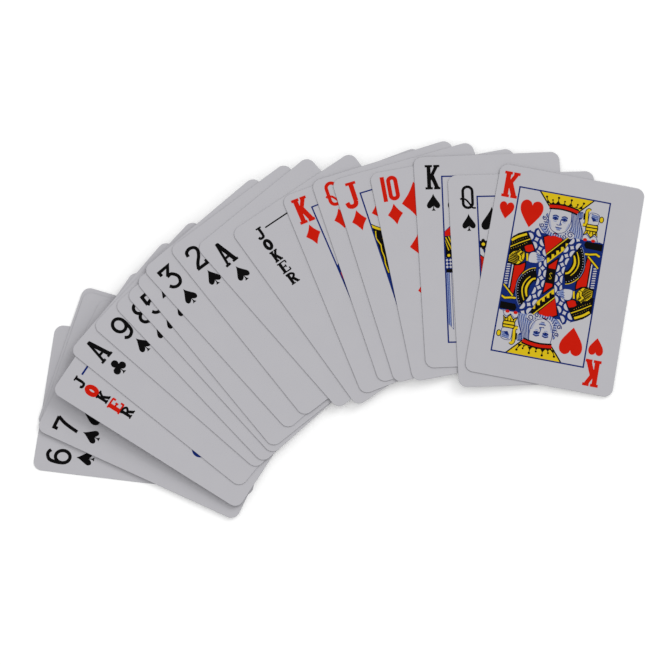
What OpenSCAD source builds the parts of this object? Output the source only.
// A spread of playing cards, face up: the lowest cards lie flat on the table, and the rest
// lean on them like shingles, each card on top of the one to its left.

/* [Card] */
// Width of a card
card_w = 59.5; // [50:0.5:70]
// Height of a card
card_h = 88; // [80:0.5:100]
// Thickness of a card
card_t = 0.25; // [0.2:0.01:0.4]
// Radius of a card's corners
corner_r = 3.5; // [2:0.1:6]

/* [Spread] */
// Air between a card and the next one up
card_gap = 0.05; // [0.05:0.01:0.2]
// Length of one step of the layout: a longer step opens the spread wider
layout_step = 1; // [0.8:0.01:1.3]

/* [Hidden] */
$fn = 64;

// Each row is one card, from the lowest to the highest: its name, how far it is turned to the
// left in degrees, and where its middle lies, in layout steps.
FLAT_RUN = [
    ["six_of_spades", 83, [-71.5, -31.5]],
    ["ten_of_spades", 73, [-67, -22]],
    ["jack_of_spades", 73, [-66.5, -24]],
    ["seven_of_spades", 65.5, [-65.5, -31]],
];
LEANING_RUN = [
    ["joker_colour", 58, [-58.5, -23.5]],
    ["ace_of_clubs", 51.5, [-52, -13]],
    ["nine_of_spades", 49, [-43.5, -5]],
    ["eight_of_spades", 43.5, [-36, -1.5]],
    ["five_of_spades", 42.5, [-31.5, 2]],
    ["four_of_spades", 39.5, [-28.5, 5]],
    ["three_of_spades", 42, [-25, 12]],
    ["two_of_spades", 38.5, [-15.5, 17.5]],
    ["ace_of_spades", 41, [-4, 20.5]],
    ["joker_black", 35.5, [8.5, 22]],
    ["king_of_diamonds", 22, [23, 25.5]],
    ["queen_of_diamonds", 18.5, [33, 29.5]],
    ["jack_of_diamonds", 17, [40.5, 29]],
    ["ten_of_diamonds", 11.5, [52.5, 28]],
    ["king_of_spades", 3, [64.5, 30]],
    ["queen_of_spades", 2.5, [78, 22]],
    ["king_of_hearts", -10.5, [89.5, 21.5]],
];

// Height from a card's back to the back of the next card up
pitch = card_t + card_gap;
// Where the middles of the corner arcs lie from a card's middle
arc_x = card_w / 2 - corner_r;
arc_y = card_h / 2 - corner_r;

function turned(p, a) = [p.x * cos(a) - p.y * sin(a), p.x * sin(a) + p.y * cos(a)];

// The middles of a card's four corner arcs, where it lies in the layout
function arc_middles(card) = [
    for (sx = [-1, 1], sy = [-1, 1])
        layout_step * card[2] + turned([sx * arc_x, sy * arc_y], card[1])
];
function right_end(card) = max([for (p = arc_middles(card)) p.x]) + corner_r;

// The leaning run tips over the right end of the flat run, which is its ridge. It leans as far as
// it can before the first of its cards touches the table.
ridge_x = max([for (card = FLAT_RUN) right_end(card)]);
ridge_z = len(FLAT_RUN) * pitch;
lean = min([
    for (i = [0:len(LEANING_RUN) - 1])
        let (out = right_end(LEANING_RUN[i]) - ridge_x)
            if (out > 0) atan((ridge_z + i * pitch) / out)
]);

// The middle of the whole spread, seen from above
function leant_x(x, level) = ridge_x + (x - ridge_x) * cos(lean) + level * pitch * sin(lean);
xs = concat(
    [for (card = FLAT_RUN) for (p = arc_middles(card)) p.x],
    [for (i = [0:len(LEANING_RUN) - 1]) for (p = arc_middles(LEANING_RUN[i])) leant_x(p.x, i)]
);
ys = [for (card = concat(FLAT_RUN, LEANING_RUN)) for (p = arc_middles(card)) p.y];
middle = [(min(xs) + max(xs)) / 2, (min(ys) + max(ys)) / 2];

module rounded_outline() {
    square([2 * arc_x, card_h], center = true);
    square([card_w, 2 * arc_y], center = true);
    for (sx = [-1, 1], sy = [-1, 1])
        translate([sx * arc_x, sy * arc_y]) circle(r = corner_r);
}

// One card, flat, with its back at z = 0 and its face up
module playing_card() {
    color("gainsboro") linear_extrude(card_t) rounded_outline();
}

module laid_out(card, level) {
    translate([layout_step * card[2].x, layout_step * card[2].y, level * pitch])
        rotate([0, 0, card[1]]) children();
}

module on_table() {
    translate([-middle.x, -middle.y, 0]) children();
}

module flat_card(i) {
    on_table() laid_out(FLAT_RUN[i], i) playing_card();
}

module leaning_card(i) {
    on_table()
        translate([ridge_x, 0, ridge_z]) rotate([0, lean, 0]) translate([-ridge_x, 0, 0])
            laid_out(LEANING_RUN[i], i) playing_card();
}

for (i = [0:len(FLAT_RUN) - 1])
    flat_card(i);
for (i = [0:len(LEANING_RUN) - 1])
    leaning_card(i);
